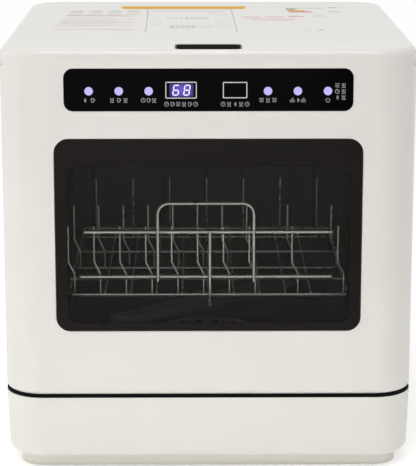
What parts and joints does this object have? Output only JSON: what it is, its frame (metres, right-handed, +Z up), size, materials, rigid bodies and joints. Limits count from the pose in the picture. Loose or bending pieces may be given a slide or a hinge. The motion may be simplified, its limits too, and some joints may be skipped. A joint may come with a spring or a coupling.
{
  "type": "countertop dishwasher",
  "caption": "Compact countertop dishwasher with a drop-down window door, a pull-out wire rack, a spray arm and a lift-out filter on a low base.",
  "frame": {"origin": "centre of the footprint, on the surface that the rubber feet stand on", "axes": "+X to the right as seen from the front, +Y from the door to the back, +Z up"},
  "size_m": [0.42, 0.435, 0.437],
  "materials": {
    "shell_white": "warm white, satin gloss",
    "base_white": "warm white, satin gloss",
    "plinth_white": "dull warm grey-white",
    "rubber_black": "matt black",
    "plastic_black": "fine grained black",
    "steel": "satin",
    "tub_steel": "satin, darker in the closed tub",
    "smoked_glass": "smoked, polished",
    "panel_black": "polished black",
    "key_lilac": "lit key spots",
    "board_green": "lacquered board",
    "pump_grey": "moulded, fine grain",
    "hose_grey": "matt",
    "tank_clear": "milky",
    "arm_grey": "moulded, fine grain",
    "lamp_white": "milky lens",
    "felt_grey": "pressed felt",
    "rack_wire": "satin wire"
  },
  "bodies": {
    "cabinet": {"base_housing": "base_white", "plinth_ring": "plinth_white", "rubber_feet": "rubber_black", "base_deck": "plastic_black", "seam_strip": "rubber_black", "front_sill": "plastic_black", "cabinet_shell": "shell_white", "rear_panel": "steel", "rear_screws": "steel", "top_cover": "shell_white", "grip_pocket": "plastic_black", "tub": "tub_steel", "tub_gasket": "rubber_black", "rack_runner_left": "plastic_black", "rack_runner_right": "plastic_black", "interior_lamp": "lamp_white", "sump": "plastic_black", "flat_filter": "steel", "spray_feed": "plastic_black", "felt_pads": "felt_grey", "wash_pump": "pump_grey", "sump_hose": "rubber_black", "drain_pump": "pump_grey", "drain_hose": "hose_grey", "drain_spigot": "plastic_black", "inlet_spigot": "plastic_black", "inlet_valve": "pump_grey", "inlet_hose": "hose_grey", "air_break": "tank_clear", "main_board": "board_green", "power_inlet": "plastic_black", "fan_housing": "plastic_black", "fan_motor": "pump_grey", "hinge_arm_left": "steel", "hinge_arm_right": "steel", "hinge_screws": "steel", "latch_catch": "plastic_black"},
    "door": {"door_shell": "shell_white", "door_glass": "smoked_glass", "inner_glass": "smoked_glass", "door_liner": "plastic_black", "liner_screws": "steel", "control_panel": "panel_black", "key_lights": "key_lilac", "control_board": "board_green", "door_grip": "plastic_black", "door_hook": "plastic_black", "hinge_bracket_left": "steel", "hinge_bracket_right": "steel", "hinge_pins": "steel"},
    "rack": {"rack_base": "rack_wire", "rack_front_tines": "rack_wire", "rack_rear_tines": "rack_wire", "rack_middle_tines": "rack_wire", "rack_front_guard": "rack_wire"},
    "spray_arm": {"spray_arm": "arm_grey"},
    "filter_cup": {"filter_cup": "steel"},
    "fan_wheel": {"fan_wheel": "pump_grey"}
  },
  "joints": [
    {"name": "door_hinge", "type": "hinge", "parent": "cabinet", "child": "door", "pos_m": [0, -0.2075, 0.091], "axis": [1, 0, 0], "range_deg": [0, 90]},
    {"name": "rack_slide", "type": "slide", "parent": "cabinet", "child": "rack", "axis": [0, -1, 0], "range_m": [0, 0.1414]},
    {"name": "spray_arm_spin", "type": "hinge", "parent": "cabinet", "child": "spray_arm", "pos_m": [0, 0.005, 0.12], "axis": [0, 0, 1], "continuous": true},
    {"name": "filter_twist", "type": "hinge", "parent": "cabinet", "child": "filter_cup", "pos_m": [0, -0.085, 0.1], "axis": [0, 0, 1], "range_deg": [0, 60]},
    {"name": "fan_spin", "type": "hinge", "parent": "cabinet", "child": "fan_wheel", "pos_m": [0.09, 0.06, 0.345], "axis": [0, 0, 1], "continuous": true}
  ],
  "couplings": [
    {"joint": "rack_slide", "follows": "door_hinge", "m_per_rad": 0.09}
  ]
}
